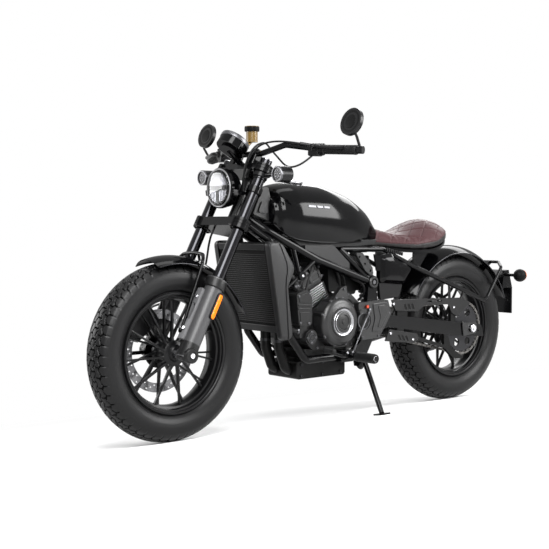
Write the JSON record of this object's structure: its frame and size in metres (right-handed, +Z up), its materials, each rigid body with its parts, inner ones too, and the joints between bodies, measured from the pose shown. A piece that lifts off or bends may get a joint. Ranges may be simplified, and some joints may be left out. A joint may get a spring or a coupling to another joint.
{
  "type": "bobber motorcycle",
  "caption": "Bobber motorcycle with solo seat, twin-cylinder engine and telescopic fork, leaning on its side stand; wheels turn, fork steers, stand folds.",
  "frame": {"origin": "Middle of the box's footprint, on the floor that the tyres and the side stand's foot rest on.", "axes": "+X forward, +Y to the rider's left, +Z up; the machine leans 9 degrees to the left."},
  "size_m": [2.212, 0.938, 1.2375],
  "materials": {
    "tyre": "matt tyre rubber",
    "wheel_black": "satin black paint",
    "disc_steel": "ground steel",
    "frame_black": "semi-gloss black paint",
    "engine_grey": "satin dark grey casting",
    "satin_plastic": "satin dark grey",
    "radiator_black": "satin black",
    "gloss_black": "gloss black lacquer",
    "bright_metal": "polished",
    "seat_leather": "brown stitched leather",
    "grip_rubber": "matt rubber",
    "reservoir_amber": "translucent amber",
    "lens_clear": "clear lens",
    "lens_red": "red lens",
    "reflector_orange": "orange reflector",
    "mirror_glass": "mirror"
  },
  "bodies": {
    "chassis": {"airbox": "satin_plastic", "alternator_cover": "engine_grey", "chain": "disc_steel", "chain_guards": "satin_plastic", "clutch_cover": "engine_grey", "coolant_box": "engine_grey", "crankcase": "engine_grey", "cylinder_head": "engine_grey", "cylinders": "engine_grey", "exhaust_headers": "radiator_black", "foot_controls": "frame_black", "frame_panels": "satin_plastic", "fuel_cap": "bright_metal", "fuel_tank": "gloss_black", "main_frame": "frame_black", "plate_bracket": "frame_black", "radiator": "radiator_black", "radiator_shrouds": "satin_plastic", "rear_axle": "disc_steel", "rear_caliper": "radiator_black", "rear_fender": "gloss_black", "rear_lamps": "gloss_black", "rear_shock": "frame_black", "seat_cushion": "seat_leather", "seat_pan": "satin_plastic", "side_covers": "gloss_black", "silencer": "radiator_black", "sprocket_cover": "engine_grey", "subframe": "frame_black", "swingarm": "frame_black"},
    "front_end": {"brake_hose": "grip_rubber", "clutch_cable": "grip_rubber", "fluid_reservoir": "reservoir_amber", "fork_sliders": "satin_plastic", "fork_tubes": "radiator_black", "front_axle": "disc_steel", "front_caliper": "radiator_black", "front_fender": "gloss_black", "front_indicators": "gloss_black", "gauge": "gloss_black", "grips": "grip_rubber", "hand_controls": "frame_black", "handlebar": "frame_black", "headlamp": "gloss_black", "lower_clamp": "frame_black", "mirrors": "satin_plastic", "switch_lead": "grip_rubber", "upper_clamp": "frame_black"},
    "front_wheel": {"tyre_front": "tyre", "wheel_front": "wheel_black", "disc_front": "disc_steel"},
    "rear_wheel": {"tyre_rear": "tyre", "wheel_rear": "wheel_black", "disc_rear": "disc_steel", "rear_sprocket": "disc_steel"},
    "side_stand": {"side_stand": "frame_black"}
  },
  "joints": [
    {"name": "steering", "type": "hinge", "parent": "chassis", "child": "front_end", "pos_m": [0.49484, -0.05766, 0.75702], "axis": [-0.4694, 0.1381, 0.8721], "range_deg": [-34, 34]},
    {"name": "front_wheel_spin", "type": "hinge", "parent": "front_end", "child": "front_wheel", "pos_m": [0.786, -0.12734, 0.31705], "axis": [0, 0.9877, -0.1564], "continuous": true},
    {"name": "rear_wheel_spin", "type": "hinge", "parent": "chassis", "child": "rear_wheel", "pos_m": [-0.704, -0.12687, 0.32016], "axis": [0, 0.9877, -0.1564], "continuous": true},
    {"name": "side_stand_fold", "type": "hinge", "parent": "chassis", "child": "side_stand", "pos_m": [-0.04201, 0.0136, 0.20976], "axis": [0.1543, 0.864, 0.4793], "range_deg": [0, 100.96]}
  ]
}
